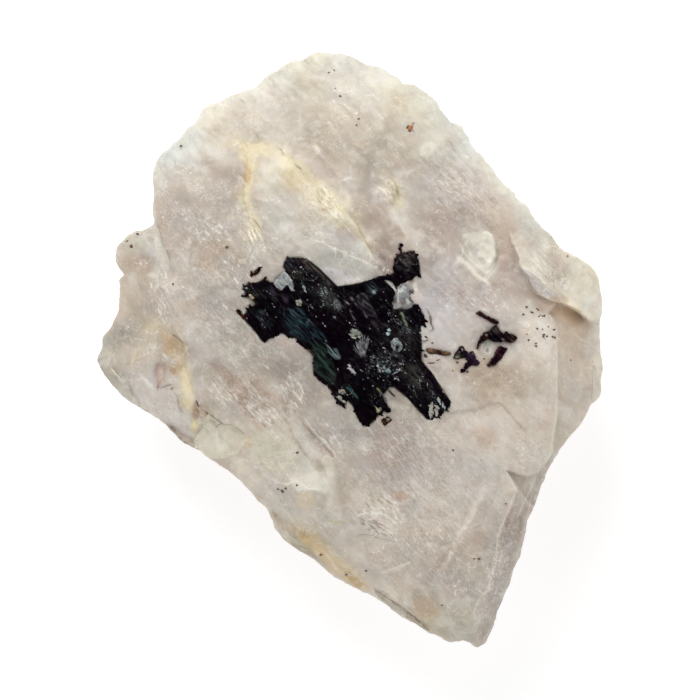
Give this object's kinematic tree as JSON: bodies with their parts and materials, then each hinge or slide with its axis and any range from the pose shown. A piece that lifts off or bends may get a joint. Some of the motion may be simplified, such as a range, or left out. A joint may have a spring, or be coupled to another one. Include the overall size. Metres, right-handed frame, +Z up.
{
  "type": "rose quartz with tourmaline",
  "caption": "Palm-sized rough of pale rose quartz with a black tourmaline crystal group and loose splinters set in its upper face; rests on a small flat spot.",
  "frame": {"origin": "centre of the bounding box's bottom, in the plane of the flat resting spot", "axes": "+Z up, away from the resting spot; +Y towards the blunt end, away from the pointed tip; +X to the right seen from above"},
  "size_m": [0.0714, 0.0834, 0.0323],
  "materials": {
    "rose_quartz": "rough broken quartz, milky and slightly translucent, waxy to glassy in patches",
    "grey_quartz": "clear grey quartz, glassy",
    "tourmaline": "black, glassy on striated faces, dull on broken ones",
    "tourmaline_brown": "dark red-brown, glassy splinters"
  },
  "bodies": {
    "root": {"rose_quartz": "rose_quartz", "tourmaline_group": "tourmaline", "quartz_chip": "grey_quartz", "tourmaline_needle": "tourmaline_brown", "tourmaline_sheaf": "tourmaline_brown", "tourmaline_rod": "tourmaline_brown", "tourmaline_left_splinters": "tourmaline_brown", "tourmaline_brown_needle": "tourmaline_brown", "tourmaline_left_flake": "tourmaline_brown", "tourmaline_lower_chip": "tourmaline_brown"}
  },
  "joints": []
}
